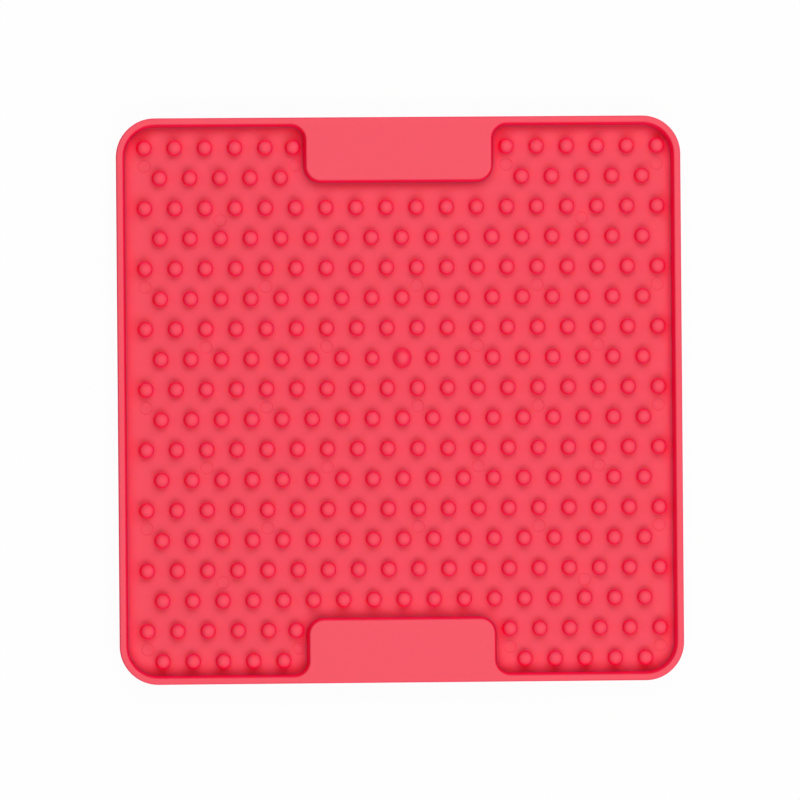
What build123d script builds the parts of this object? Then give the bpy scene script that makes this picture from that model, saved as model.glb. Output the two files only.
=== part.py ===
from build123d import *
from math import acos, copysign, cos, hypot, isclose, pi, radians, sin, tan
import os

# Square lick mat, in millimetres. A rigid tray carries a soft nubbed pad, which is moulded through
# holes in the tray's floor and stands on its own grip feet. Z is up, the two tabs face each other
# along Y, and the origin is on the ground under the middle of the mat.

# Tray: outer square, rim and wall
mat_side = 200.0
mat_corner_radius = 13.6
side_draft = 2.0  # degrees, the outer sides lean in towards the ground
floor_thickness = 1.7
rim_width = 2.3
wall_height = 5.0  # from the pad's surface up to the rim
wall_draft = 10.0  # degrees, the well opens upwards
rim_inner_round = 0.8
rim_outer_round = 0.7
ground_edge_round = 0.6

# Tabs: plain platforms level with the rim, cored out from below between ribs
tab_width = 65.5
tab_depth = 22.3  # in from the outer edge
tab_corner_radius = 5.2
tab_root_radius = 5.6
tab_skin = 2.0
tab_wall = 2.0
tab_rib = 1.2
tab_rib_count = 3
tab_cell_radius = 1.0

# Pad: a soft sheet that fills the floor of the well and turns up against its wall
pad_thickness = 1.8
toe_round = 0.5  # the upturn at the foot of the wall
shrink_gap = 0.03  # the soft moulding shrinks this far from the tray's upright faces

# Nubs: staggered rows of dome-headed studs, every other row one nub short
nub_pitch = 10.69
row_pitch = 10.67
nub_field_x = 0.95  # the field's middle, off the mat's middle
nub_field_y = -1.2
nub_edge_gap = 1.5
nub_tab_gap = 0.15
nub_height = 4.4
nub_base_diameter = 5.5
nub_head_diameter = 4.6
nub_dome_radius = 3.0
nub_skirt = 0.35

# Gate nub: the fatter nub over the point where the soft material was injected
gate_nub_height = 4.6
gate_nub_base_diameter = 6.6
gate_nub_head_diameter = 5.6
gate_nub_dome_radius = 3.6
gate_nub_skirt = 0.45
gate_plug_diameter = 4.0
gate_plug_recess = 0.3

# Ejector marks: shallow discs between the nubs, by row and column in pitches
ejector_diameter = 4.4
ejector_depth = 0.12
ejector_columns = {
    0.6: (0, 5, 12, 17),
    2.4: (2.5, 14.5),
    4.6: (0, 4, 9, 13, 17),
    6.6: (2, 6, 11, 15),
    8.6: (0, 4, 9, 13, 17),
    10.6: (2, 6, 11, 15),
    12.6: (0, 4, 9, 13, 17),
    14.4: (2.5, 14.5),
    16.6: (0, 5, 12, 17),
}

# Grip feet: keys of the pad pass through the floor and end in discs that stand on the ground
feet_per_side = 4
foot_edge_gap = 5.8  # between the outer feet and the tabs
foot_diameter = 9.0
foot_stand = 0.5  # below the tray
foot_recess = 0.8  # into the tray
foot_round = 0.3
key_diameter = 5.0

cut_overrun = 1.0

# Levels and sizes that follow from the values above
half_side = mat_side / 2
tray_underside = foot_stand
pad_underside = tray_underside + floor_thickness
pad_surface = pad_underside + pad_thickness
rim_level = pad_surface + wall_height
wall_foot = wall_height * tan(radians(wall_draft))
bed_inset = wall_foot + toe_round
bed_half = half_side - rim_width - bed_inset
bed_corner_radius = mat_corner_radius - rim_width - bed_inset
tab_side = tab_width / 2 + bed_inset
tab_front = half_side - tab_depth - bed_inset
nub_reach = nub_base_diameter / 2 + nub_skirt
nub_room = 2 * (bed_half - nub_edge_gap - nub_reach)
nub_columns = int(nub_room / nub_pitch) + 1
nub_rows = int(nub_room / row_pitch) + 1
gate_row = nub_rows // 2 - 2
gate_column = nub_columns // 2 - 1
foot_pitch = (2 * (tab_front - foot_edge_gap) - foot_diameter) / (feet_per_side - 1)

STANDING = (Align.CENTER, Align.CENTER, Align.MIN)


def well_outline(inset):
    """Face of the well inside the rim and around both tabs, drawn in by an inset all round."""
    side = mat_side - 2 * (rim_width + inset)
    half_tab = tab_width / 2 + inset
    well = RectangleRounded(side, side, mat_corner_radius - rim_width - inset)
    for end in (half_side, -half_side):
        well -= Pos(0, end) * Rectangle(2 * half_tab, 2 * (tab_depth + inset))
    corners = well.vertices().filter_by(lambda v: isclose(abs(v.Y), half_side - tab_depth - inset))
    well = fillet(corners, tab_corner_radius + inset)
    roots = well.vertices().filter_by(lambda v: isclose(abs(v.X), half_tab))
    roots = roots.filter_by(lambda v: isclose(abs(v.Y), side / 2))
    return fillet(roots, tab_root_radius - inset)


def drawn_down(face, height, draft):
    """Solid that hangs from the rim level and narrows downwards by the draft angle."""
    return Pos(0, 0, rim_level) * Rot(180, 0, 0) * extrude(face, height, taper=draft)


def tab_cells():
    """Hollows under the tabs, with ribs left standing between them."""
    width = (tab_width - 2 * tab_wall - tab_rib_count * tab_rib) / (tab_rib_count + 1)
    depth = tab_depth - tab_wall - rim_width
    middle = half_side - rim_width - depth / 2
    height = rim_level - tab_skin - tray_underside + cut_overrun
    cell = extrude(RectangleRounded(width, depth, tab_cell_radius), height)
    cells = []
    for y in (middle, -middle):
        row = GridLocations(width + tab_rib, 0, tab_rib_count + 1, 1)
        cells += [Pos(0, y, tray_underside - cut_overrun) * place * cell for place in row]
    return cells


def foot_places():
    """Square grid of grip feet under the pad."""
    return GridLocations(foot_pitch, foot_pitch, feet_per_side, feet_per_side)


def foot_holes():
    """Holes through the floor for the pad's keys, and the round recesses that hold their feet."""
    hole = Cylinder(key_diameter / 2 + shrink_gap, floor_thickness + 2 * cut_overrun, align=STANDING)
    recess = Cylinder(foot_diameter / 2 + shrink_gap, foot_recess + cut_overrun, align=STANDING)
    start = Pos(0, 0, tray_underside - cut_overrun)
    return [start * place * tool for place in foot_places() for tool in (hole, recess)]


def gate_hole():
    """Hole through the floor under the gate nub."""
    radius = gate_plug_diameter / 2 + shrink_gap
    hole = Cylinder(radius, floor_thickness + 2 * cut_overrun, align=STANDING)
    return Pos(*lattice(gate_row, gate_column), tray_underside - cut_overrun) * hole


def base_tray():
    """Rigid tray: rim, wall, two cored tabs and the floor that the pad lies on."""
    square = RectangleRounded(mat_side, mat_side, mat_corner_radius)
    tray = drawn_down(square, rim_level - tray_underside, side_draft)
    tray = fillet(tray.faces().sort_by(Axis.Z)[0].edges(), ground_edge_round)
    bed = Pos(0, 0, pad_underside) * extrude(well_outline(wall_foot), pad_thickness + cut_overrun)
    tray -= [drawn_down(well_outline(0), wall_height, wall_draft), bed]
    tray = fillet(tray.faces().sort_by(Axis.Z)[-1].inner_wires()[0].edges(), rim_inner_round)
    tray = fillet(tray.faces().sort_by(Axis.Z)[-1].outer_wire().edges(), rim_outer_round)
    return tray - tab_cells() - foot_holes() - gate_hole()


def lattice(row, column):
    """Place in the nub field, counted in pitches from its corner at -X and +Y. Odd rows are short."""
    last_column = nub_columns - (2 if row % 2 == 1 else 1)
    x = nub_field_x + (column - last_column / 2) * nub_pitch
    y = nub_field_y + ((nub_rows - 1) / 2 - row) * row_pitch
    return x, y


def fits_bed(x, y, reach):
    """Whether a round feature lies inside the rim and clear of the tabs."""
    beyond_x = max(abs(x) - bed_half + bed_corner_radius, 0)
    beyond_y = max(abs(y) - bed_half + bed_corner_radius, 0)
    in_rim = hypot(beyond_x, beyond_y) + reach < bed_corner_radius
    in_tab = abs(x) < tab_side and abs(y) + reach > tab_front
    return in_rim and not in_tab


def nub_places():
    """Centres of the plain nubs. One that would graze a tab's side stands just clear of it."""
    places = []
    for row in range(nub_rows):
        for column in range(nub_columns - row % 2):
            x, y = lattice(row, column)
            if abs(y) + nub_reach > tab_front and abs(x) > tab_side:
                x = copysign(max(abs(x), tab_side + nub_reach + nub_tab_gap), x)
            if fits_bed(x, y, nub_reach) and (row, column) != (gate_row, gate_column):
                places.append((x, y))
    return places


def nub(height, base_diameter, head_diameter, dome_radius, skirt):
    """Dome-headed stud with a skirt round its foot, rooted half way into the sheet below Z = 0."""
    base = Vector(base_diameter / 2, 0)
    dome_middle = Vector(0, height - dome_radius)
    shoulder = acos(head_diameter / 2 / dome_radius)
    crown = (shoulder + pi / 2) / 2
    side_top = dome_middle + Vector(cos(shoulder), sin(shoulder)) * dome_radius
    dome_mid = dome_middle + Vector(cos(crown), sin(crown)) * dome_radius
    skirt_top = base + (side_top - base).normalized() * skirt
    skirt_radius = base.X + skirt
    root = -pad_thickness / 2
    profile = Polyline((0, height), (0, root), (skirt_radius, root), (skirt_radius, 0), skirt_top, side_top)
    profile += ThreePointArc(side_top, dome_mid, (0, height))
    return revolve(Plane.XZ * make_face(profile), Axis.Z)


def ejector_marks():
    """Shallow discs sunk into the pad's surface where the ejector pins pushed it off the mould."""
    mark = Cylinder(ejector_diameter / 2, ejector_depth + cut_overrun, align=STANDING)
    marks = []
    for row, columns in ejector_columns.items():
        for column in columns:
            x, y = lattice(row, column)
            if fits_bed(x, y, ejector_diameter / 2):
                marks.append(Pos(x, y, pad_surface - ejector_depth) * mark)
    return marks


def grip_feet():
    """Keys down through the floor, each with its foot, and the plug under the gate nub."""
    foot = Cylinder(foot_diameter / 2, foot_stand + foot_recess, align=STANDING)
    foot = fillet(foot.edges().sort_by(Axis.Z)[0], foot_round)
    key_start = foot_stand + foot_recess
    key = Pos(0, 0, key_start) * Cylinder(key_diameter / 2, pad_underside - key_start, align=STANDING)
    plug = Cylinder(gate_plug_diameter / 2, floor_thickness - gate_plug_recess, align=STANDING)
    plug = Pos(*lattice(gate_row, gate_column), tray_underside + gate_plug_recess) * plug
    return [place * (foot + key) for place in foot_places()] + [plug]


def sheet():
    """Sheet of the pad, with a hollow round where it turns up against the wall."""
    blank = extrude(well_outline(wall_foot + shrink_gap), pad_thickness + toe_round)
    well = drawn_down(well_outline(0), wall_height, wall_draft)
    well = fillet(well.faces().sort_by(Axis.Z)[0].edges(), toe_round)
    return Pos(0, 0, pad_underside) * blank - well


def lick_pad():
    """Soft pad: the sheet, its nubs, the gate nub and the feet, in one moulding."""
    plain = nub(nub_height, nub_base_diameter, nub_head_diameter, nub_dome_radius, nub_skirt)
    nubs = [Pos(x, y, pad_surface) * plain for x, y in nub_places()]
    gate = nub(gate_nub_height, gate_nub_base_diameter, gate_nub_head_diameter,
               gate_nub_dome_radius, gate_nub_skirt)
    nubs.append(Pos(*lattice(gate_row, gate_column), pad_surface) * gate)
    return sheet() - ejector_marks() + nubs + grip_feet()


os.makedirs("parts", exist_ok=True)
export_step(base_tray(), "parts/base_tray.step")
export_step(lick_pad(), "parts/lick_pad.step")
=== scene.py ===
import logging
import math
import random
from dataclasses import dataclass
from enum import Enum
from typing import Any, ClassVar, Iterable, Sequence

import bmesh
import bpy
from mathutils import Matrix, Vector
from mathutils.geometry import delaunay_2d_cdt


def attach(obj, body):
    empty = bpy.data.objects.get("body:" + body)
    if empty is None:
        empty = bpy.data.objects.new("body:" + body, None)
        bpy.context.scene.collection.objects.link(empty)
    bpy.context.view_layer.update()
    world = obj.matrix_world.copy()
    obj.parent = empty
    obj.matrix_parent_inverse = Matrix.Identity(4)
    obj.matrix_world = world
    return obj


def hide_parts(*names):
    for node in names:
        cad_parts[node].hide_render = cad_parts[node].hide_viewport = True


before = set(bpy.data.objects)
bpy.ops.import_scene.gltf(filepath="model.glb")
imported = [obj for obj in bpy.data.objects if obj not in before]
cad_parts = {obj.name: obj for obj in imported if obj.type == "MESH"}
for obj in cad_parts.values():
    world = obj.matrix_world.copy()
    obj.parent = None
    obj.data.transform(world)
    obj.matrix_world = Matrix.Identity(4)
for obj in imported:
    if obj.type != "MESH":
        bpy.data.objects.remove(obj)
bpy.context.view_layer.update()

log = logging.getLogger("lick_mat")

Point2 = tuple[float, float]
Point3 = tuple[float, float, float]
Loop = list[Point2]
Ring = list[int]

MM = 0.001  # metres in a millimetre
WHITE = (1.0, 1.0, 1.0, 1.0)
WEAR_AND_HIGHLIGHT = "wear_and_highlight"  # point attribute from 0 to 1: how much a place is handled and licked, which makes it smoother and paler; the paler colour on the nub heads is a painted highlight

# The triangulation's output: triangles inside the outline and outside its holes.
INSIDE_AROUND_HOLES = 2
WELD = 1e-6  # millimetres within which the triangulation takes two points for one

# Straight pieces in the curves and runs of the meshes.
WELL_ARC = 12
WELL_RUNS = (10, 2, 12, 2, 10, 32)  # after each corner, along half of the well's outline
OUTER_ARC = 16
OUTER_RUN = 32
TOE_ARC = 12
GROUND_ARC = 5
SMALL_ARC = 4
CELL_RUN = 4
DOME_ARC = 6
ROUND_SIDES = 32
MARK_SIDES = 36

# Corners of a box as seen from its middle, in order round it.
BOX_CORNERS = ((1, 1), (-1, 1), (-1, -1), (1, -1))


def srgb_to_linear(code: str) -> tuple[float, float, float, float]:
    """Turn an sRGB hex colour into linear RGBA.

    Args:
        code: Colour such as "#F12842".

    Returns:
        Red, green and blue in linear light, and an alpha of 1.
    """
    levels = [int(code[i:i + 2], 16) / 255 for i in (1, 3, 5)]
    linear = [v / 12.92 if v <= 0.04045 else ((v + 0.055) / 1.055) ** 2.4 for v in levels]
    return linear[0], linear[1], linear[2], 1.0


def add_node(
    tree: bpy.types.NodeTree,
    kind: str,
    settings: dict[str, Any] | None = None,
    inputs: dict[str | int, Any] | None = None,
) -> bpy.types.Node:
    """Add a node, set its properties and fill its sockets.

    Args:
        tree: Node tree that takes the node.
        kind: Blender's name of the node type.
        settings: Properties of the node by name.
        inputs: Sockets by name or number. An output socket is linked, anything else is set.

    Returns:
        The new node.
    """
    node = tree.nodes.new(kind)
    for name, value in (settings or {}).items():
        setattr(node, name, value)
    for key, value in (inputs or {}).items():
        if isinstance(value, bpy.types.NodeSocket):
            tree.links.new(value, node.inputs[key])
        else:
            node.inputs[key].default_value = value
    return node


def add_seen_share(tree: bpy.types.NodeTree) -> bpy.types.NodeSocket:
    """Add the nodes that tell what the eye sees, directly or through a gloss or a clear part.

    Args:
        tree: Node tree that takes the nodes.

    Returns:
        A socket that is 1 for such a ray of light and 0 for any other.
    """
    ray = add_node(tree, "ShaderNodeLightPath")
    seen = add_node(tree, "ShaderNodeMath", {"operation": "MAXIMUM"},
                    {0: ray.outputs["Is Camera Ray"], 1: ray.outputs["Is Glossy Ray"]})
    shown = add_node(tree, "ShaderNodeMath", {"operation": "MAXIMUM"},
                     {0: seen.outputs[0], 1: ray.outputs["Is Transmission Ray"]})
    return shown.outputs[0]


def round_corner(before: Point2, corner: Point2, after: Point2, radius: float, steps: int) -> Loop:
    """Points of an arc that rounds the corner between two straight runs.

    Args:
        before: A point on the run that leads to the corner.
        corner: The sharp corner.
        after: A point on the run that leads away.
        radius: Radius of the arc.
        steps: Number of straight pieces in the arc.

    Returns:
        The arc's points, both tangent points included.
    """
    tip = Vector(corner)
    back = (Vector(before) - tip).normalized()
    onward = (Vector(after) - tip).normalized()
    half = back.angle(onward) / 2
    middle = tip + (back + onward).normalized() * (radius / math.sin(half))
    start = tip + back * (radius / math.tan(half)) - middle
    end = tip + onward * (radius / math.tan(half)) - middle
    turn = math.atan2(start.x * end.y - start.y * end.x, start.dot(end))
    first = math.atan2(start.y, start.x)
    angles = [first + turn * step / steps for step in range(steps + 1)]
    return [(middle.x + radius * math.cos(a), middle.y + radius * math.sin(a)) for a in angles]


def rounded_loop(corners: Sequence[Point3], steps: int, runs: Sequence[int]) -> Loop:
    """Closed outline with rounded corners, always with the same number of points.

    Args:
        corners: Sharp corners in order, each with its radius.
        steps: Straight pieces in each corner's arc.
        runs: Straight pieces in the run that follows each corner.

    Returns:
        The outline's points.
    """
    count = len(corners)
    arcs = []
    for i, (x, y, radius) in enumerate(corners):
        before, after = corners[i - 1], corners[(i + 1) % count]
        arcs.append(round_corner(before[:2], (x, y), after[:2], radius, steps))
    loop: Loop = []
    for i, arc in enumerate(arcs):
        loop += arc
        (ax, ay), (bx, by) = arc[-1], arcs[(i + 1) % count][0]
        shares = [k / runs[i] for k in range(1, runs[i])]
        loop += [(ax + (bx - ax) * t, ay + (by - ay) * t) for t in shares]
    return loop


def circle(x: float, y: float, radius: float, count: int, stretch: float = 1.0) -> Loop:
    """Points of a circle, or of an ellipse that is stretched along Y."""
    turns = [2 * math.pi * k / count for k in range(count)]
    return [(x + radius * math.cos(a), y + radius * stretch * math.sin(a)) for a in turns]


class MeshMaker:
    """Collects points in millimetres and faces, and turns them into an object."""

    def __init__(self) -> None:
        """Start with nothing."""
        self.points: list[Point3] = []
        self.faces: list[Sequence[int]] = []
        self.wear_and_highlight: list[float] = []
        self.sharp: list[tuple[int, int]] = []

    def ring(self, loop: Loop, height: float, wear_and_highlight: float = 0.0) -> Ring:
        """Add a closed ring of points.

        Args:
            loop: The ring's outline.
            height: Its height.
            wear_and_highlight: How much it is worn; on a nub's head this is also how much painted highlight
                it takes.

        Returns:
            The numbers of its points.
        """
        start = len(self.points)
        self.points += [(x, y, height) for x, y in loop]
        self.wear_and_highlight += [wear_and_highlight] * len(loop)
        return list(range(start, len(self.points)))

    def skin(self, rings: Sequence[Ring]) -> None:
        """Join each ring to the next with four-sided faces.

        Args:
            rings: Rings in order, with equal numbers of points.
        """
        for low, high in zip(rings, rings[1:]):
            for k in range(len(low)):
                self.faces.append((low[k - 1], low[k], high[k], high[k - 1]))

    def crease(self, *rings: Ring) -> None:
        """Keep the edges of these rings sharp in the shading."""
        for ring in rings:
            self.sharp += [(ring[k - 1], ring[k]) for k in range(len(ring))]

    def cap(self, ring: Ring, wear_and_highlight: float = 0.0, rise: float = 0.0) -> None:
        """Close a ring with a fan of faces round a point in its middle.

        Args:
            ring: The ring to close.
            wear_and_highlight: How much the middle is worn; on a nub's head this is also how much painted
                highlight it takes.
            rise: How far the middle stands above the ring.
        """
        spots = [Vector(self.points[i]) for i in ring]
        middle = sum(spots, Vector()) / len(spots)
        self.points.append((middle.x, middle.y, middle.z + rise))
        self.wear_and_highlight.append(wear_and_highlight)
        top = len(self.points) - 1
        self.faces += [(ring[k - 1], ring[k], top) for k in range(len(ring))]

    def fill(self, outer: Ring, holes: Sequence[Ring] = ()) -> None:
        """Fill a flat outline with faces, around its holes.

        Args:
            outer: Ring of the outline.
            holes: Rings of the holes, at the same height.
        """
        used = [i for ring in (outer, *holes) for i in ring]
        flat = [Vector(self.points[i][:2]) for i in used]
        place = {i: n for n, i in enumerate(used)}
        outlines = [[place[i] for i in ring] for ring in (outer, *holes)]
        made = delaunay_2d_cdt(flat, [], outlines, INSIDE_AROUND_HOLES, WELD)
        back = [used[sources[0]] for sources in made[3]]
        self.faces += [[back[n] for n in face] for face in made[2]]

    def build(self, name: str) -> bpy.types.Object:
        """Turn what was collected into an object in the scene.

        Args:
            name: Name of the object.

        Returns:
            The object, smooth shaded and facing outwards.
        """
        mesh = bpy.data.meshes.new(name)
        mesh.from_pydata([[v * MM for v in p] for p in self.points], [], self.faces)
        mesh.attributes.new(WEAR_AND_HIGHLIGHT, "FLOAT", "POINT").data.foreach_set("value", self.wear_and_highlight)
        work = bmesh.new()
        work.from_mesh(mesh)
        work.verts.ensure_lookup_table()
        for face in work.faces:
            face.smooth = True
        for a, b in self.sharp:
            work.edges.get((work.verts[a], work.verts[b])).smooth = False
        bmesh.ops.recalc_face_normals(work, faces=work.faces)
        work.to_mesh(mesh)
        work.free()
        made = bpy.data.objects.new(name, mesh)
        bpy.context.scene.collection.objects.link(made)
        weights = made.modifiers.new("face_weights", "WEIGHTED_NORMAL")
        weights.mode = "FACE_AREA"
        weights.keep_sharp = True
        return made


@dataclass(frozen=True)
class MatSizes:
    """Sizes that the tray and the pad share, in millimetres, as in the solid model."""

    side: float = 200.0
    corner: float = 13.6
    side_draft: float = 2.0  # degrees
    rim_width: float = 2.3
    wall_height: float = 5.0
    wall_draft: float = 10.0  # degrees
    tab_width: float = 65.5
    tab_depth: float = 22.3
    tab_corner: float = 5.2
    tab_root: float = 5.6
    floor_thickness: float = 1.7
    pad_thickness: float = 1.8
    toe_round: float = 0.5
    shrink_gap: float = 0.03
    foot_stand: float = 0.5
    foot_recess: float = 0.8
    foot_diameter: float = 9.0
    key_diameter: float = 5.0
    foot_edge_gap: float = 5.8
    feet_per_side: int = 4
    plug_diameter: float = 4.0
    nub_pitch: float = 10.69
    row_pitch: float = 10.67
    field_x: float = 0.95
    field_y: float = -1.2
    nub_rows: int = 18
    nub_columns: int = 18
    gate: tuple[int, int] = (7, 8)  # row and column

    @property
    def half(self) -> float:
        """Half the mat's side."""
        return self.side / 2

    @property
    def pad_underside(self) -> float:
        """Height of the tray's floor, which the pad lies on."""
        return self.foot_stand + self.floor_thickness

    @property
    def pad_surface(self) -> float:
        """Height of the pad between its nubs."""
        return self.pad_underside + self.pad_thickness

    @property
    def rim_level(self) -> float:
        """Height of the rim and the tabs."""
        return self.pad_surface + self.wall_height

    @property
    def wall_foot(self) -> float:
        """How far the wall's foot stands in from the rim's inner edge."""
        return self.wall_height * math.tan(math.radians(self.wall_draft))

    @property
    def bed_inset(self) -> float:
        """How far the flat of the pad stands in from the rim's inner edge."""
        return self.wall_foot + self.toe_round

    @property
    def tab_side(self) -> float:
        """Where the flat of the pad ends beside a tab."""
        return self.tab_width / 2 + self.bed_inset

    @property
    def tab_front(self) -> float:
        """Where the flat of the pad ends in front of a tab."""
        return self.half - self.tab_depth - self.bed_inset

    def well_loop(self, inset: float) -> Loop:
        """Outline of the well, round both tabs.

        Args:
            inset: Distance in from the rim's inner edge.

        Returns:
            The outline's points.
        """
        side = self.half - self.rim_width - inset
        tab = self.tab_width / 2 + inset
        front = self.half - self.tab_depth - inset
        corner, root = self.corner - self.rim_width - inset, self.tab_root - inset
        nose = self.tab_corner + inset
        quarter = [(side, side, corner), (tab, side, root), (tab, front, nose)]
        upper = quarter + [(-x, y, r) for x, y, r in reversed(quarter)]
        lower = [(-x, -y, r) for x, y, r in upper]
        return rounded_loop(upper + lower, WELL_ARC, WELL_RUNS * 2)

    def outer_loop(self, inset: float) -> Loop:
        """Outline of the mat's outer edge.

        Args:
            inset: Distance in from the edge.

        Returns:
            The outline's points.
        """
        side, corner = self.half - inset, self.corner - inset
        corners = [(i * side, j * side, corner) for i, j in BOX_CORNERS]
        return rounded_loop(corners, OUTER_ARC, [OUTER_RUN] * len(corners))

    def lattice(self, row: float, column: float) -> Point2:
        """Place in the nub field, whose odd rows are one nub short.

        Args:
            row: Pitches from the first row, towards -Y.
            column: Pitches from the row's first nub, towards +X.

        Returns:
            The place.
        """
        last = self.nub_columns - (2 if row % 2 == 1 else 1)
        x = self.field_x + (column - last / 2) * self.nub_pitch
        y = self.field_y + ((self.nub_rows - 1) / 2 - row) * self.row_pitch
        return x, y

    def fits_bed(self, x: float, y: float, reach: float) -> bool:
        """Tell whether a round feature lies inside the rim and clear of the tabs.

        Args:
            x: Its middle.
            y: Its middle.
            reach: Its radius.

        Returns:
            Whether it fits.
        """
        bed = self.half - self.rim_width - self.bed_inset
        corner = self.corner - self.rim_width - self.bed_inset
        beyond = math.hypot(max(abs(x) - bed + corner, 0), max(abs(y) - bed + corner, 0))
        in_tab = abs(x) < self.tab_side and abs(y) + reach > self.tab_front
        return beyond + reach < corner and not in_tab

    def foot_places(self) -> Loop:
        """Lay out the grip feet.

        Returns:
            The middles of the feet.
        """
        span = 2 * (self.tab_front - self.foot_edge_gap) - self.foot_diameter
        steps = [span * (k / (self.feet_per_side - 1) - 0.5) for k in range(self.feet_per_side)]
        return [(x, y) for x in steps for y in steps]


class Shade(Enum):
    """Reds of the mat, as sRGB hex."""

    TRAY = "#F90A44"
    TRAY_DENSE = "#F60840"
    TRAY_RUBBED = "#FB0E48"
    PAD = "#F70846"
    PAD_DENSE = "#F40642"
    # Paler red for the nub heads: a painted highlight.
    PAD_HIGHLIGHT = "#FD0A48"
    SPECK = "#A00820"


@dataclass(frozen=True)
class MouldedPolymer:
    """A pigmented polymer straight from the mould, with the marks that moulding leaves, painted shade on
    steep sides and in corners, and a painted highlight on the nub heads.
    """

    name: str
    body: Shade
    dense: Shade  # where the pigment has gathered
    # Paler red of worn places; on the nub heads it is a painted highlight.
    wear_and_highlight_shade: Shade
    ior: float
    haze: float  # share of the light that the fine grain scatters back white
    painted_shade_steep_haze: float  # the same on steep sides, kept lower so that they stay a deeper red: painted shade
    painted_shade_corner_haze: float  # part of the haze that is left in corners, which stay a deeper red: painted shade
    corner_mm: float  # how far out of a corner the painted shade reaches
    roughness: float
    rubbed_roughness: float
    flow_mm: float  # size of the clouds in the pigment
    grain_mm: float  # size of the mould's spark-eroded grain
    grain_depth_mm: float
    ripple_mm: float  # length of the sink and flow ripples
    ripple_depth_mm: float
    speck_mm: float  # distance between dark specks of pigment
    glow: float  # share of the light that spreads below the surface
    glow_mm: float

    flow_detail: ClassVar[float] = 4.0
    flow_roughness: ClassVar[float] = 0.6
    relief_detail: ClassVar[float] = 2.0
    cloud_levels: ClassVar[Point2] = (0.35, 0.65)  # of the noise, from dense to plain pigment
    speck_radii: ClassVar[Point2] = (0.008, 0.018)  # of the core and the rim, in distances between specks
    speck_cover: ClassVar[float] = 0.5
    steep_levels: ClassVar[Point2] = (0.15, 0.95)  # upward part of the normal, from a steep side in painted shade to a flat
    corner_levels: ClassVar[Point2] = (0.5, 0.9)  # openness, from a corner in full painted shade to an open place
    corner_rays: ClassVar[int] = 8
    glow_spread: ClassVar[Point3] = (1.0, 0.12, 0.15)  # red light goes far deeper than green and blue

    def add_pigment(
        self, tree: bpy.types.NodeTree, place: bpy.types.NodeSocket, wear_and_highlight: bpy.types.NodeSocket
    ) -> bpy.types.NodeSocket:
        """Add the colour: clouds of pigment, worn places, a painted highlight on the nub heads and a few dark
        specks.

        Args:
            tree: Node tree that takes the nodes.
            place: Coordinates of the point.
            wear_and_highlight: How much the point is worn; on a nub's head this is also how much painted
                highlight it takes.

        Returns:
            The colour's socket.
        """
        flow = add_node(tree, "ShaderNodeTexNoise", {},
                        {"Vector": place, "Scale": 1 / (self.flow_mm * MM),
                         "Detail": self.flow_detail, "Roughness": self.flow_roughness})
        clouds = add_node(tree, "ShaderNodeMapRange", {},
                          {"Value": flow.outputs["Fac"], "From Min": self.cloud_levels[0],
                           "From Max": self.cloud_levels[1]})
        body = add_node(tree, "ShaderNodeMix", {"data_type": "RGBA"},
                        {0: clouds.outputs["Result"], 6: srgb_to_linear(self.dense.value),
                         7: srgb_to_linear(self.body.value)})
        # Paler where worn; on the nub heads this is a painted highlight.
        wear_and_highlight_shade = add_node(tree, "ShaderNodeMix", {"data_type": "RGBA"},
                          {0: wear_and_highlight, 6: body.outputs[2], 7: srgb_to_linear(self.wear_and_highlight_shade.value)})
        spots = add_node(tree, "ShaderNodeTexVoronoi", {},
                         {"Vector": place, "Scale": 1 / (self.speck_mm * MM)})
        speck = add_node(tree, "ShaderNodeMapRange", {},
                         {"Value": spots.outputs["Distance"], "From Min": self.speck_radii[0],
                          "From Max": self.speck_radii[1], "To Min": self.speck_cover, "To Max": 0.0})
        colour = add_node(tree, "ShaderNodeMix", {"data_type": "RGBA"},
                          {0: speck.outputs["Result"], 6: wear_and_highlight_shade.outputs[2],
                           7: srgb_to_linear(Shade.SPECK.value)})
        return colour.outputs[2]

    def add_relief(self, tree: bpy.types.NodeTree, place: bpy.types.NodeSocket) -> bpy.types.NodeSocket:
        """Add the bump of the mould's grain on top of the long sink and flow ripples.

        Args:
            tree: Node tree that takes the nodes.
            place: Coordinates of the point.

        Returns:
            The normal's socket.
        """
        grain = add_node(tree, "ShaderNodeTexNoise", {},
                         {"Vector": place, "Scale": 1 / (self.grain_mm * MM), "Detail": self.relief_detail})
        ripple = add_node(tree, "ShaderNodeTexNoise", {},
                          {"Vector": place, "Scale": 1 / (self.ripple_mm * MM), "Detail": self.relief_detail})
        waves = add_node(tree, "ShaderNodeBump", {},
                         {"Height": ripple.outputs["Fac"], "Distance": self.ripple_depth_mm * MM})
        relief = add_node(tree, "ShaderNodeBump", {},
                          {"Height": grain.outputs["Fac"], "Distance": self.grain_depth_mm * MM,
                           "Normal": waves.outputs["Normal"]})
        return relief.outputs["Normal"]

    def add_veil_and_painted_shade(self, tree: bpy.types.NodeTree) -> bpy.types.NodeSocket:
        """Add the share of the pale veil, which thins out on steep sides and in corners as painted shade.

        Args:
            tree: Node tree that takes the nodes.

        Returns:
            The share's socket.
        """
        normal = add_node(tree, "ShaderNodeNewGeometry").outputs["Normal"]
        upright = add_node(tree, "ShaderNodeSeparateXYZ", {}, {0: normal})
        flat = add_node(tree, "ShaderNodeMath", {"operation": "ABSOLUTE"}, {0: upright.outputs["Z"]})
        # Steep sides lose most of the veil and stay a deeper red: painted shade on the walls and the nubs'
        # sides.
        cover = add_node(tree, "ShaderNodeMapRange", {},
                         {"Value": flat.outputs[0], "From Min": self.steep_levels[0],
                          "From Max": self.steep_levels[1], "To Min": self.painted_shade_steep_haze,
                          "To Max": self.haze})
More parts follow.
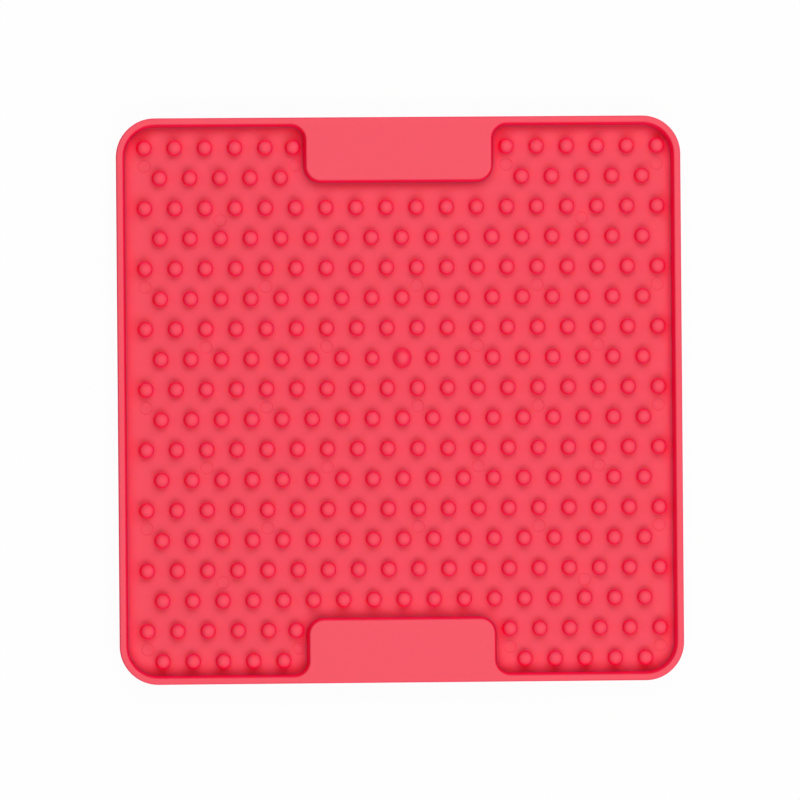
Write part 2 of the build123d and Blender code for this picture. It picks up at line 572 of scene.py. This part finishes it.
        # An occlusion node thins the veil in corners too, so they stay a deeper red: painted shade where
        # shade falls.
        corner = add_node(tree, "ShaderNodeAmbientOcclusion", {"samples": self.corner_rays},
                          {"Distance": self.corner_mm * MM})
        open_part = add_node(tree, "ShaderNodeMapRange", {},
                             {"Value": corner.outputs["AO"], "From Min": self.corner_levels[0],
                              "From Max": self.corner_levels[1], "To Min": self.painted_shade_corner_haze})
        veil = add_node(tree, "ShaderNodeMath", {"operation": "MULTIPLY"},
                        {0: cover.outputs["Result"], 1: open_part.outputs["Result"]})
        return veil.outputs[0]

    def material(self) -> bpy.types.Material:
        """Make the material.

        Returns:
            A node material that works in the object's own coordinates.
        """
        made = bpy.data.materials.new(self.name)
        made.use_nodes = True
        tree = made.node_tree
        tree.nodes.clear()
        place = add_node(tree, "ShaderNodeTexCoord").outputs["Object"]
        wear_and_highlight = add_node(tree, "ShaderNodeAttribute", {"attribute_name": WEAR_AND_HIGHLIGHT}).outputs["Fac"]
        normal = self.add_relief(tree, place)
        gloss = add_node(tree, "ShaderNodeMapRange", {},
                         {"Value": wear_and_highlight, "To Min": self.roughness, "To Max": self.rubbed_roughness})
        surface = add_node(tree, "ShaderNodeBsdfPrincipled", {},
                           {"Base Color": self.add_pigment(tree, place, wear_and_highlight),
                            "Roughness": gloss.outputs["Result"], "IOR": self.ior,
                            "Specular IOR Level": 0.0, "Normal": normal,
                            "Subsurface Weight": self.glow, "Subsurface Scale": self.glow_mm * MM,
                            "Subsurface Radius": self.glow_spread})
        haze = add_node(tree, "ShaderNodeBsdfDiffuse", {}, {"Color": WHITE, "Normal": normal})
        skin = add_node(tree, "ShaderNodeMixShader", {},
                        {0: self.add_veil_and_painted_shade(tree), 1: surface.outputs[0], 2: haze.outputs[0]})
        add_node(tree, "ShaderNodeOutputMaterial", {}, {"Surface": skin.outputs[0]})
        return made


# Polypropylene from a finely eroded mould: an even, slightly waxy matt. The grain lays a pale veil over
# what faces up; steep sides and corners are kept a deep, clear red by thinning the veil there, which is
# painted shade. The real grain is about 0.05 mm; it is drawn at 0.4 mm so that it shows. Pigment clouds of
# 24 mm and ripples of 14 mm follow the melt's flow.
MATT_POLYPROPYLENE = MouldedPolymer(
    name="polypropylene_moulded_fine_matt",
    body=Shade.TRAY,
    dense=Shade.TRAY_DENSE,
    wear_and_highlight_shade=Shade.TRAY_RUBBED,
    ior=1.49,
    haze=0.1,
    painted_shade_steep_haze=0.008,
    painted_shade_corner_haze=0.2,
    corner_mm=5.0,
    roughness=0.62,
    rubbed_roughness=0.58,
    flow_mm=24.0,
    grain_mm=0.4,
    grain_depth_mm=0.004,
    ripple_mm=14.0,
    ripple_depth_mm=0.05,
    speck_mm=16.0,
    glow=0.8,
    glow_mm=1.2,
)

# Thermoplastic rubber from the same tool: a satin that is a little softer and deeper, with a thinner veil,
# light that runs further below the surface, and nub tops polished by licking and washing. The nub tops are
# also made paler, which is a painted highlight, and the veil thins on steep sides and in corners as painted
# shade. The real grain is about 0.05 mm; it is drawn at 0.35 mm so that it shows. Clouds of 18 mm and
# ripples of 9 mm follow the melt as it winds between the nubs.
SATIN_RUBBER = MouldedPolymer(
    name="thermoplastic_rubber_moulded_satin",
    body=Shade.PAD,
    dense=Shade.PAD_DENSE,
    wear_and_highlight_shade=Shade.PAD_HIGHLIGHT,
    ior=1.5,
    haze=0.088,
    painted_shade_steep_haze=0.02,
    painted_shade_corner_haze=0.2,
    corner_mm=5.0,
    roughness=0.62,
    rubbed_roughness=0.58,
    flow_mm=18.0,
    grain_mm=0.35,
    grain_depth_mm=0.004,
    ripple_mm=9.0,
    ripple_depth_mm=0.04,
    speck_mm=14.0,
    glow=1.0,
    glow_mm=2.2,
)


@dataclass
class Tray:
    """Rigid tray: rim, wall, two cored tabs and the floor under the pad."""

    sizes: MatSizes
    finish: MouldedPolymer = MATT_POLYPROPYLENE
    rim_inner_round: float = 0.8
    rim_outer_round: float = 0.7
    ground_round: float = 0.6
    tab_skin: float = 2.0
    tab_wall: float = 2.0
    tab_rib: float = 1.2
    tab_rib_count: int = 3
    cell_round: float = 1.0
    witness_height: float = 4.2  # of the parting line, below the rim
    witness_proud: float = 0.05
    witness_half: float = 0.12
    inner_rub: tuple[float, ...] = (0.1, 0.3, 0.6, 0.9, 0.9, 0.6, 0.2)  # from the wall up over the rim
    outer_rub: tuple[float, ...] = (0.2, 0.7, 1.0, 0.9, 0.5, 0.1)  # from the rim down to the side
    witness_rub: float = 0.2
    ground_rub: float = 0.3

    def wall_profile(self) -> list[Point3]:
        """Draw the section from the tray's floor up to the flat of the rim.

        Returns:
            Inset, height and rub of its points.
        """
        s = self.sizes
        foot = (s.wall_foot, s.pad_surface)
        crest = round_corner(foot, (0.0, s.rim_level), (-s.rim_width, s.rim_level),
                             self.rim_inner_round, len(self.inner_rub) - 1)
        upright = [(s.wall_foot, s.pad_underside, 0.0), (*foot, 0.0)]
        return upright + [(*spot, wear_and_highlight) for spot, wear_and_highlight in zip(crest, self.inner_rub)]

    def side_profile(self) -> list[Point3]:
        """Draw the section from the flat of the rim down to the flat of the underside.

        Returns:
            Inset, height and rub of its points.
        """
        s = self.sizes
        lean = math.tan(math.radians(s.side_draft))
        ground = ((s.rim_level - s.foot_stand) * lean, s.foot_stand)
        flat = (ground[0] + s.rim_width, s.foot_stand)
        crest = round_corner((s.rim_width, s.rim_level), (0.0, s.rim_level), ground,
                             self.rim_outer_round, len(self.outer_rub) - 1)
        foot = round_corner((0.0, s.rim_level), ground, flat, self.ground_round, GROUND_ARC)
        witness = []
        for step, proud in ((-1, 0.0), (0, self.witness_proud), (1, 0.0)):
            drop = self.witness_height + step * self.witness_half
            witness.append((drop * lean - proud, s.rim_level - drop, self.witness_rub))
        upper = [(*spot, wear_and_highlight) for spot, wear_and_highlight in zip(crest, self.outer_rub)]
        return upper + witness + [(*spot, self.ground_rub) for spot in foot]

    def cells(self) -> Iterable[tuple[float, float, float, float]]:
        """Lay out the hollows under the tabs, between their ribs.

        Returns:
            Middle and size of each hollow.
        """
        s = self.sizes
        ribs = self.tab_rib_count
        width = (s.tab_width - 2 * self.tab_wall - ribs * self.tab_rib) / (ribs + 1)
        depth = s.tab_depth - self.tab_wall - s.rim_width
        middle = s.half - s.rim_width - depth / 2
        for y in (middle, -middle):
            for k in range(ribs + 1):
                yield (k - ribs / 2) * (width + self.tab_rib), y, width, depth

    def add_foot_holes(self, maker: MeshMaker) -> tuple[list[Ring], list[Ring]]:
        """Add the stepped holes that the pad's keys and feet fill.

        Args:
            maker: Mesh that takes the holes.

        Returns:
            The rings in the underside, and the rings in the floor.
        """
        s = self.sizes
        recess, hole = s.foot_diameter / 2 + s.shrink_gap, s.key_diameter / 2 + s.shrink_gap
        step = s.foot_stand + s.foot_recess
        section = [(recess, s.foot_stand), (recess, step), (hole, step), (hole, s.pad_underside)]
        below, above = [], []
        for x, y in s.foot_places():
            rings = [maker.ring(circle(x, y, r, ROUND_SIDES), z) for r, z in section]
            maker.skin(rings)
            maker.crease(*rings)
            below.append(rings[0])
            above.append(rings[-1])
        return below, above

    def add_gate_hole(self, maker: MeshMaker) -> list[Ring]:
        """Add the hole that the pad was filled through.

        Args:
            maker: Mesh that takes the hole.

        Returns:
            The rings in the underside and in the floor.
        """
        s = self.sizes
        loop = circle(*s.lattice(*s.gate), s.plug_diameter / 2 + s.shrink_gap, ROUND_SIDES)
        rings = [maker.ring(loop, z) for z in (s.foot_stand, s.pad_underside)]
        maker.skin(rings)
        maker.crease(*rings)
        return rings

    def add_cells(self, maker: MeshMaker) -> list[Ring]:
        """Add the hollows under the tabs.

        Args:
            maker: Mesh that takes the hollows.

        Returns:
            The rings in the underside.
        """
        s = self.sizes
        mouths = []
        for x, y, width, depth in self.cells():
            corners = [(x + i * width / 2, y + j * depth / 2, self.cell_round) for i, j in BOX_CORNERS]
            loop = rounded_loop(corners, SMALL_ARC, [CELL_RUN] * len(corners))
            rings = [maker.ring(loop, z) for z in (s.foot_stand, s.rim_level - self.tab_skin)]
            maker.skin(rings)
            maker.crease(*rings)
            maker.fill(rings[-1])
            mouths.append(rings[0])
        return mouths

    def build(self) -> bpy.types.Object:
        """Build the tray's mesh.

        Returns:
            The tray.
        """
        s = self.sizes
        maker = MeshMaker()
        wall = [maker.ring(s.well_loop(inset), z, wear_and_highlight) for inset, z, wear_and_highlight in self.wall_profile()]
        side = [maker.ring(s.outer_loop(inset), z, wear_and_highlight) for inset, z, wear_and_highlight in self.side_profile()]
        maker.skin(wall)
        maker.skin(side)
        maker.fill(side[0], [wall[-1]])
        maker.crease(wall[0], wall[1])
        below, above = self.add_foot_holes(maker)
        gate_below, gate_above = self.add_gate_hole(maker)
        cells = self.add_cells(maker)
        maker.fill(side[-1], [*below, *cells, gate_below])
        maker.fill(wall[0], [*above, gate_above])
        return maker.build("tray")

    def dress(self, tray: bpy.types.Object) -> None:
        """Give the tray its finish and put it in the CAD node's place.

        Args:
            tray: The tray's object.
        """
        tray.data.materials.append(self.finish.material())
        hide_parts("base_tray")
        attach(tray, "root")


@dataclass(frozen=True)
class NubShape:
    """A stud with drawn sides, a low domed head and a hollow round at its foot, in millimetres."""

    height: float = 4.4
    base_diameter: float = 5.5
    head_diameter: float = 4.6
    dome_radius: float = 2.5
    shoulder_round: float = 0.7
    flare: float = 0.36
    wear_and_highlight_start: float = 0.375  # share of the height from which a tongue reaches it, and from which the head turns paler in a painted highlight

    def profile(self) -> list[Point3]:
        """Draw the section from the foot on the sheet up to just below the top.

        Returns:
            Radius, height and rub of its points.
        """
        base, head, dome = self.base_diameter / 2, self.head_diameter / 2, self.dome_radius
        rise = dome - math.sqrt(dome ** 2 - head ** 2)
        edge = self.height - rise
        foot = round_corner((2 * base, 0.0), (base, 0.0), (head, edge), self.flare, SMALL_ARC)
        reach = math.asin(head / dome)
        tangent = (head - math.cos(reach) * rise, edge + math.sin(reach) * rise)
        shoulder = round_corner((base, 0.0), (head, edge), tangent, self.shoulder_round, SMALL_ARC)
        start = math.asin(min(shoulder[-1][0] / dome, 1.0))
        turns = [start * (1 - k / DOME_ARC) for k in range(1, DOME_ARC)]
        cap = [(dome * math.sin(a), self.height - dome * (1 - math.cos(a))) for a in turns]
        # Towards its top the head grows smoother, worn by licking, and paler, a painted highlight.
        low = self.height * self.wear_and_highlight_start
        return [(r, z, max(0.0, (z - low) / (self.height - low))) for r, z in foot + shoulder + cap]


@dataclass
class LickPad:
    """Soft pad: the sheet, its nubs, the gate nub, the ejector marks and the grip feet."""

    sizes: MatSizes
    finish: MouldedPolymer = SATIN_RUBBER
    nub: NubShape = NubShape()
    gate_nub: NubShape = NubShape(height=4.6, base_diameter=6.8, head_diameter=4.5, dome_radius=2.4,
                                  shoulder_round=0.6, flare=0.5)
    gate_stretch: float = 1.1  # how much longer the gate nub is along Y than along X
    below_stretch: float = 1.08  # the same for the two nubs below it
    beside_width: float = 0.93  # width of the two nubs beside it, as a share of the others'
    nub_reach: float = 3.1
    nub_tab_gap: float = 0.15
    spread: float = 0.012  # share by which nubs differ in width and height
    seed: int = 11
    ejector_diameter: float = 4.6
    ejector_depth: float = 0.2
    ejector_lip: float = 0.2
    foot_round: float = 0.3
    plug_recess: float = 0.3

    # Section of an ejector mark from its edge in, in lips and depths.
    ejector_section: ClassVar[tuple[Point2, ...]] = ((0.0, 0.0), (0.5, 0.9), (1.0, 1.0), (2.0, 0.8))
    # Columns of the ejector marks in each row, in pitches of the nub field.
    ejector_columns: ClassVar[dict[float, tuple[float, ...]]] = {
        0.6: (0, 5, 12, 17), 2.4: (2.5, 14.5), 4.6: (0, 4, 9, 13, 17), 6.6: (2, 6, 11, 15),
        8.6: (0, 4, 9, 13, 17), 10.6: (2, 6, 11, 15), 12.6: (0, 4, 9, 13, 17), 14.4: (2.5, 14.5),
        16.6: (0, 5, 12, 17),
    }

    def nub_places(self) -> Iterable[tuple[int, int, float, float]]:
        """Lay out the plain nubs. One that would graze a tab stands just clear of it.

        Returns:
            Row, column and middle of each nub.
        """
        s = self.sizes
        for row in range(s.nub_rows):
            for column in range(s.nub_columns - row % 2):
                x, y = s.lattice(row, column)
                if abs(y) + self.nub_reach > s.tab_front and abs(x) > s.tab_side:
                    x = math.copysign(max(abs(x), s.tab_side + self.nub_reach + self.nub_tab_gap), x)
                if s.fits_bed(x, y, self.nub_reach) and (row, column) != s.gate:
                    yield row, column, x, y

    def edge_profile(self) -> Loop:
        """Draw the section from the flat of the sheet up its turned edge and down its upright side.

        Returns:
            Inset and height of its points.
        """
        s = self.sizes
        foot, top = (s.wall_foot, s.pad_surface), (0.0, s.rim_level)
        hollow = round_corner((s.half, s.pad_surface), foot, top, s.toe_round, TOE_ARC)
        side = s.wall_foot + s.shrink_gap
        kept = [spot for spot in hollow if spot[0] > side]
        middle_x, middle_z = hollow[0][0], s.pad_surface + s.toe_round
        tip = middle_z - math.sqrt(s.toe_round ** 2 - (middle_x - side) ** 2)
        return kept + [(side, tip), (side, s.pad_underside)]

    def add_nub(
        self, maker: MeshMaker, shape: NubShape, middle: Point2, size: Point2, stretch: float
    ) -> Ring:
        """Add one nub.

        Args:
            maker: Mesh that takes the nub.
            shape: The nub's shape.
            middle: Its place.
            size: Scale of its width and of its height.
            stretch: How much longer it is along Y than along X.

        Returns:
            The ring of its foot.
        """
        wide, tall = size
        base = self.sizes.pad_surface
        rings = [maker.ring(circle(*middle, r * wide, ROUND_SIDES, stretch), base + z * tall, wear_and_highlight)
                 for r, z, wear_and_highlight in shape.profile()]
        maker.skin(rings)
        top = base + shape.height * tall
        # The head's top takes the full wear and the full painted highlight.
        maker.cap(rings[-1], 1.0, top - maker.points[rings[-1][0]][2])
        return rings[0]

    def add_nubs(self, maker: MeshMaker) -> list[Ring]:
        """Add all nubs, with the small differences that the soft material shows.

        Args:
            maker: Mesh that takes the nubs.

        Returns:
            The rings of their feet.
        """
        s = self.sizes
        dice = random.Random(self.seed)
        gate_row, gate_column = s.gate
        below = {(gate_row + 1, gate_column), (gate_row + 1, gate_column + 1)}
        beside = {(gate_row, gate_column - 1), (gate_row, gate_column + 1)}
        feet = []
        for row, column, x, y in self.nub_places():
            wide = 1 + dice.uniform(-self.spread, self.spread)
            tall = 1 + dice.uniform(-self.spread, self.spread)
            if (row, column) in beside:
                wide *= self.beside_width
            stretch = self.below_stretch if (row, column) in below else 1.0
            feet.append(self.add_nub(maker, self.nub, (x, y), (wide, tall), stretch))
        gate = s.lattice(gate_row, gate_column)
        feet.append(self.add_nub(maker, self.gate_nub, gate, (1.0, 1.0), self.gate_stretch))
        return feet

    def add_ejector_marks(self, maker: MeshMaker) -> list[Ring]:
        """Add the shallow discs that the ejector pins left.

        Args:
            maker: Mesh that takes the marks.

        Returns:
            The rings round their edges.
        """
        s = self.sizes
        radius = self.ejector_diameter / 2
        section = [(radius - lips * self.ejector_lip, s.pad_surface - depths * self.ejector_depth)
                   for lips, depths in self.ejector_section]
        edges = []
        for row, columns in self.ejector_columns.items():
            for column in columns:
                x, y = s.lattice(row, column)
                if s.fits_bed(x, y, radius):
                    rings = [maker.ring(circle(x, y, r, MARK_SIDES), z) for r, z in section]
                    maker.skin(rings)
                    maker.crease(rings[0])
                    maker.cap(rings[-1])
                    edges.append(rings[0])
        return edges

    def add_feet(self, maker: MeshMaker) -> list[Ring]:
        """Add the keys with their grip feet, and the plug under the gate nub.

        Args:
            maker: Mesh that takes the feet.

        Returns:
            The rings where they leave the sheet's underside.
        """
        s = self.sizes
        foot, key = s.foot_diameter / 2, s.key_diameter / 2
        shoulder = s.foot_stand + s.foot_recess
        rounded = round_corner((foot, shoulder), (foot, 0.0), (0.0, 0.0), self.foot_round, SMALL_ARC)
        stepped = [(key, s.pad_underside), (key, shoulder), (foot, shoulder)]
        roots = []
        for x, y in s.foot_places():
            rings = [maker.ring(circle(x, y, r, ROUND_SIDES), z) for r, z in stepped + rounded]
            maker.skin(rings)
            maker.crease(*rings[:len(stepped)])
            maker.cap(rings[-1])
            roots.append(rings[0])
        loop = circle(*s.lattice(*s.gate), s.plug_diameter / 2, ROUND_SIDES)
        plug = [maker.ring(loop, z) for z in (s.pad_underside, s.foot_stand + self.plug_recess)]
        maker.skin(plug)
        maker.crease(*plug)
        maker.cap(plug[-1])
        return roots + [plug[0]]

    def build(self) -> bpy.types.Object:
        """Build the pad's mesh.

        Returns:
            The pad.
        """
        s = self.sizes
        maker = MeshMaker()
        edge = [maker.ring(s.well_loop(inset), z) for inset, z in self.edge_profile()]
        maker.skin(edge)
        maker.crease(edge[-2], edge[-1])
        maker.fill(edge[0], self.add_nubs(maker) + self.add_ejector_marks(maker))
        maker.fill(edge[-1], self.add_feet(maker))
        return maker.build("pad")

    def dress(self, pad: bpy.types.Object) -> None:
        """Give the pad its finish and put it in the CAD node's place.

        Args:
            pad: The pad's object.
        """
        pad.data.materials.append(self.finish.material())
        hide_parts("lick_pad")
        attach(pad, "root")


@dataclass(frozen=True)
class WhitePaper:
    """Matt white paper sweep: plain white to the eye, with a soft trace of the object's shadow."""

    name: str = "paper_sweep_matt_white"
    colour: str = "#E8E8E8"
    lift: float = 0.96  # share of the paper's white that the eye sees without any shadow

    def material(self) -> bpy.types.Material:
        """Make the material.

        Returns:
            A diffuse white that the eye sees partly as plain white.
        """
        made = bpy.data.materials.new(self.name)
        made.use_nodes = True
        tree = made.node_tree
        tree.nodes.clear()
        share = add_node(tree, "ShaderNodeMath", {"operation": "MULTIPLY"},
                         {0: add_seen_share(tree), 1: self.lift})
        paper = add_node(tree, "ShaderNodeBsdfDiffuse", {}, {"Color": srgb_to_linear(self.colour)})
        white = add_node(tree, "ShaderNodeEmission", {}, {"Strength": 1.0})
        mix = add_node(tree, "ShaderNodeMixShader", {},
                       {0: share.outputs[0], 1: paper.outputs[0], 2: white.outputs[0]})
        add_node(tree, "ShaderNodeOutputMaterial", {}, {"Surface": mix.outputs[0]})
        return made


@dataclass
class Studio:
    """Paper sweep, two soft lamps in front of and behind the mat, and the camera above it, in metres."""

    paper: WhitePaper = WhitePaper()
    paper_side: float = 6.0
    paper_drop: float = 0.1 * MM
    lamp_width: float = 1.2
    lamp_length: float = 0.5
    lamp_aside: float = 0.13
    lamp_reach: float = 1.2
    lamp_turns: Point2 = (-38.0, 38.0)  # degrees from overhead, along Y
    lamp_power: float = 7.2  # watts
    surround: float = 0.34  # strength of the even light from all round
    backdrop_levels: Point2 = (0.3, 0.45)  # upward part of the view, where the white backdrop ends
    camera_place: Point3 = (-0.265, 0.0, 3.79)
    camera_aim: Point3 = (-0.00026, -0.00009, 0.009)
    camera_roll: float = -0.45  # degrees
    camera_sight: float = 20.0
    lens: float = 482.6  # millimetres
    sensor: float = 36.0  # millimetres

    def add_floor(self) -> None:
        """Lay the paper just under the grip feet."""
        half = self.paper_side / 2
        mesh = bpy.data.meshes.new("paper_sweep")
        corners = [(-half, -half), (half, -half), (half, half), (-half, half)]
        mesh.from_pydata([(x, y, -self.paper_drop) for x, y in corners], [], [(0, 1, 2, 3)])
        mesh.materials.append(self.paper.material())
        floor = bpy.data.objects.new("paper_sweep", mesh)
        bpy.context.scene.collection.objects.link(floor)

    def add_lamps(self) -> None:
        """Hang two soft lamps over the mat, one to each side along Y and both a little to its right."""
        for turn in self.lamp_turns:
            light = bpy.data.lights.new("lamp", "AREA")
            light.shape = "RECTANGLE"
            light.size = self.lamp_width
            light.size_y = self.lamp_length
            light.energy = self.lamp_power
            lamp = bpy.data.objects.new("lamp", light)
            angle = math.radians(turn)
            lamp.location = (self.lamp_aside, self.lamp_reach * math.sin(angle),
                             self.lamp_reach * math.cos(angle))
            lamp.rotation_euler = Vector(lamp.location).to_track_quat("Z", "Y").to_euler()
            bpy.context.scene.collection.objects.link(lamp)

    def add_world(self) -> None:
        """Surround the mat with a weak even light that the eye sees as a white backdrop."""
        world = bpy.data.worlds.new("soft_surround")
        world.use_nodes = True
        tree = world.node_tree
        tree.nodes.clear()
        way = add_node(tree, "ShaderNodeSeparateXYZ", {},
                       {0: add_node(tree, "ShaderNodeTexCoord").outputs["Generated"]})
        low = add_node(tree, "ShaderNodeMapRange", {},
                       {"Value": way.outputs["Z"], "From Min": self.backdrop_levels[0],
                        "From Max": self.backdrop_levels[1], "To Min": 1.0, "To Max": 0.0})
        share = add_node(tree, "ShaderNodeMath", {"operation": "MULTIPLY"},
                         {0: add_seen_share(tree), 1: low.outputs["Result"]})
        dim = add_node(tree, "ShaderNodeBackground", {}, {"Color": WHITE, "Strength": self.surround})
        white = add_node(tree, "ShaderNodeBackground", {}, {"Color": WHITE, "Strength": 1.0})
        mix = add_node(tree, "ShaderNodeMixShader", {},
                       {0: share.outputs[0], 1: dim.outputs[0], 2: white.outputs[0]})
        add_node(tree, "ShaderNodeOutputWorld", {}, {"Surface": mix.outputs[0]})
        bpy.context.scene.world = world

    def add_camera(self) -> None:
        """Set the camera high above the mat, a little to its left."""
        data = bpy.data.cameras.new("camera")
        data.lens = self.lens
        data.sensor_width = self.sensor
        data.clip_end = self.camera_sight
        back = (Vector(self.camera_place) - Vector(self.camera_aim)).normalized()
        right = Vector((0.0, 1.0, 0.0)).cross(back).normalized()
        up = back.cross(right)
        roll = Matrix.Rotation(math.radians(self.camera_roll), 3, "Z")
        turn = Matrix((right, up, back)).transposed() @ roll
        camera = bpy.data.objects.new("camera", data)
        camera.matrix_world = Matrix.Translation(self.camera_place) @ turn.to_4x4()
        bpy.context.scene.collection.objects.link(camera)
        bpy.context.scene.camera = camera

    def build(self) -> None:
        """Set up the floor, the lamps, the surround and the camera."""
        self.add_floor()
        self.add_lamps()
        self.add_world()
        self.add_camera()
        bpy.context.scene.view_settings.view_transform = "Standard"


def main() -> None:
    """Build the tray, the pad and the studio."""
    logging.basicConfig(level=logging.INFO)
    sizes = MatSizes()
    for piece in (Tray(sizes), LickPad(sizes)):
        made = piece.build()
        piece.dress(made)
        log.info("%s: %d points", made.name, len(made.data.vertices))
    Studio().build()
    log.info("studio ready")


if __name__ == "__main__":
    main()
